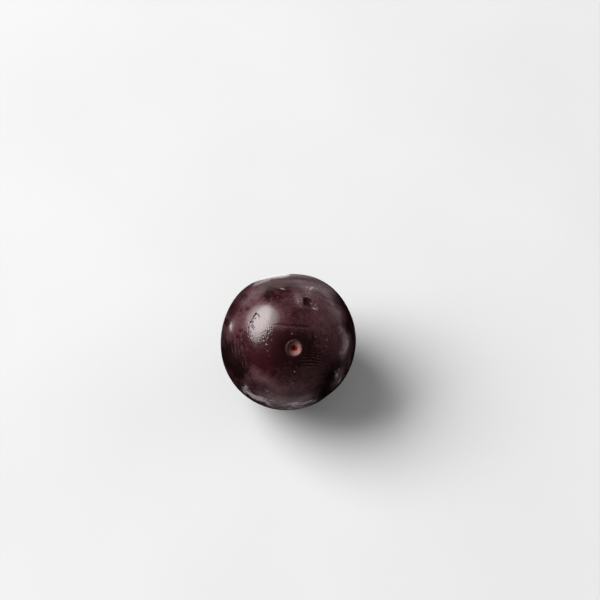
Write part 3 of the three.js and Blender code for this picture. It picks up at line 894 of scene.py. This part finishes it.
skin_shader = add(tree, "ShaderNodeBsdfPrincipled", {
    "Base Color": colour,
    "Roughness": dullness,
    "IOR": 1.42,
    "Specular IOR Level": 0.25,
    "Specular Tint": GLOSS_TINT,
    "Coat Weight": varnish,
    "Coat Roughness": 0.2,
    "Coat IOR": 1.5,
    "Normal": bumped,
    "Coat Normal": bumped,
})
add(tree, "ShaderNodeOutputMaterial", {"Surface": skin_shader})
fruit.data.materials.append(skin)

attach(fruit, "root")
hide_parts("plum")

# ------------------------------------------------------------------------------------------
# THE FLOOR
# A plain sheet of matt white board, far wider than the view. Its white wanders a little, over
# about 7 cm.
# ------------------------------------------------------------------------------------------
BOARD_WIDTH = 6.0
MOTTLES_PER_METRE = 14.0
BOARD_SHADE, BOARD_WHITE = linear("#bbbbbb"), linear("#bfbfbf")

bpy.ops.mesh.primitive_plane_add(size=BOARD_WIDTH)
floor = bpy.context.object
floor.name = "floor"
board = bpy.data.materials.new("matt_white_board")
board.use_nodes = True
tree = board.node_tree
on_board = add(tree, "ShaderNodeTexCoord", out="Object")
shade = add(tree, "ShaderNodeTexNoise", {
    "Vector": on_board, "Scale": MOTTLES_PER_METRE, "Detail": 2.0,
})
shade = add(tree, "ShaderNodeMapRange", {"Value": shade, "From Min": 0.3, "From Max": 0.7})
tone = add(tree, "ShaderNodeMix", {
    0: shade, 6: BOARD_SHADE, 7: BOARD_WHITE,
}, out=2, data_type="RGBA")
paint = tree.nodes["Principled BSDF"]
tree.links.new(tone, paint.inputs["Base Color"])
paint.inputs["Roughness"].default_value = 0.8
paint.inputs["Specular IOR Level"].default_value = 0.2
floor.data.materials.append(board)
# The skin doesn't mirror the board, so its sides stay dark, as they do among other dark fruits.
floor.visible_glossy = False

# ------------------------------------------------------------------------------------------
# THE LIGHT
# One large soft box, high on the left and a little behind, and weak light from all round.
# ------------------------------------------------------------------------------------------
fruit_middle = (cad_low + cad_high) / 2


def soft_box(name, way, distance, width, height, radiance, roll=0.0, shape="RECTANGLE"):
    """A soft box of that size, in metres, at a distance along way, facing the fruit."""
    lamp = bpy.data.lights.new(name, "AREA")
    lamp.shape, lamp.size, lamp.size_y = shape, width, height
    area = width * height * (math.pi / 4 if shape == "ELLIPSE" else 1)
    lamp.energy = radiance * math.pi * area
    box = bpy.data.objects.new(name, lamp)
    bpy.context.collection.objects.link(box)
    box.location = fruit_middle + Vector(way).normalized() * distance
    faced = Vector(way).to_track_quat("Z", "Y") @ Euler((0, 0, roll)).to_quaternion()
    box.rotation_euler = faced.to_euler()
    return box


# The key is an oval lamp with a wider, dimmer sheet just behind it, so that its glow fades
# towards its edge.
soft_box(
    "key_lamp", way=(-0.697, 0.196, 0.690), distance=2.2, width=2.34, height=1.28,
    radiance=7.8, roll=math.radians(-18.9), shape="ELLIPSE",
)
soft_box(
    "key_sheet", way=(-0.666, 0.289, 0.688), distance=2.25, width=2.56, height=1.89,
    radiance=4.6, roll=math.radians(-80.6), shape="ELLIPSE",
)
soft_box(
    "back_board", way=(0.1, 1.0, -0.03), distance=1.6, width=2.4, height=0.7, radiance=0.45
)
right_fill = soft_box(
    "right_fill", way=(0.86, 0.23, 0.43), distance=1.4, width=1.2, height=1.0, radiance=0.9
)
right_fill.visible_glossy = False

# Pale cards on the floor, which only the skin's gloss picks up: its gleam near the rim. Each is
# its place and size, in millimetres, and its radiance.
CARDS = {
    "back_card": (-7, 53, 15, 60, 2.0),
    "back_card_faint": (-3, 56, 34, 44, 0.35),
    "back_card_fainter": (10, 60, 70, 40, 0.14),
    "right_card": (70, 0, 24, 37, 0.5),
    "front_card": (-3, -36, 46, 18, 0.3),
    "left_card": (-88, 35, 26, 8, 12.0),
    "back_card_left": (-24, 80, 16, 36, 2.2),
}
CARD_TINT = (1, 0.93, 0.93)
CARD_HEIGHT = 0.5 * MM

for name, (x, y, width, depth, radiance) in CARDS.items():
    card = soft_box(name, (0, 0, 1), 0.0, width * MM, depth * MM, radiance, shape="ELLIPSE")
    card.data.color = CARD_TINT
    card.location = (x * MM, y * MM, CARD_HEIGHT)
    card.rotation_euler = (math.pi, 0, 0)
    card.visible_camera = card.visible_diffuse = False

ROOM_BRIGHTNESS = 0.33
world = bpy.data.worlds.new("studio")
world.use_nodes = True
world.node_tree.nodes["Background"].inputs["Color"].default_value = linear("#ffffff")
world.node_tree.nodes["Background"].inputs["Strength"].default_value = ROOM_BRIGHTNESS
bpy.context.scene.world = world
world.cycles_visibility.glossy = False
bpy.context.scene.view_settings.view_transform = "Standard"

# ------------------------------------------------------------------------------------------
# THE CAMERA
# It looks down on the fruit from the side that the stem leans to.
# ------------------------------------------------------------------------------------------
CAMERA_HEIGHT = math.radians(63)
CAMERA_DISTANCE = 0.494
CAMERA_LENS = 100
FRUIT_LEFT_OF_MIDDLE = 3.64 * MM
FRUIT_BELOW_MIDDLE = 12.35 * MM

lens = bpy.data.cameras.new("camera")
lens.lens = CAMERA_LENS
lens.clip_start, lens.clip_end = 0.01, 20
camera = bpy.data.objects.new("camera", lens)
bpy.context.collection.objects.link(camera)
to_camera = Vector((0, -math.cos(CAMERA_HEIGHT), math.sin(CAMERA_HEIGHT)))
camera_up = Vector((0, math.sin(CAMERA_HEIGHT), math.cos(CAMERA_HEIGHT)))
camera.location = fruit_middle + to_camera * CAMERA_DISTANCE
aim = fruit_middle + Vector((FRUIT_LEFT_OF_MIDDLE, 0, 0)) + camera_up * FRUIT_BELOW_MIDDLE
camera.rotation_euler = (camera.location - aim).to_track_quat("Z", "Y").to_euler()
bpy.context.scene.camera = camera
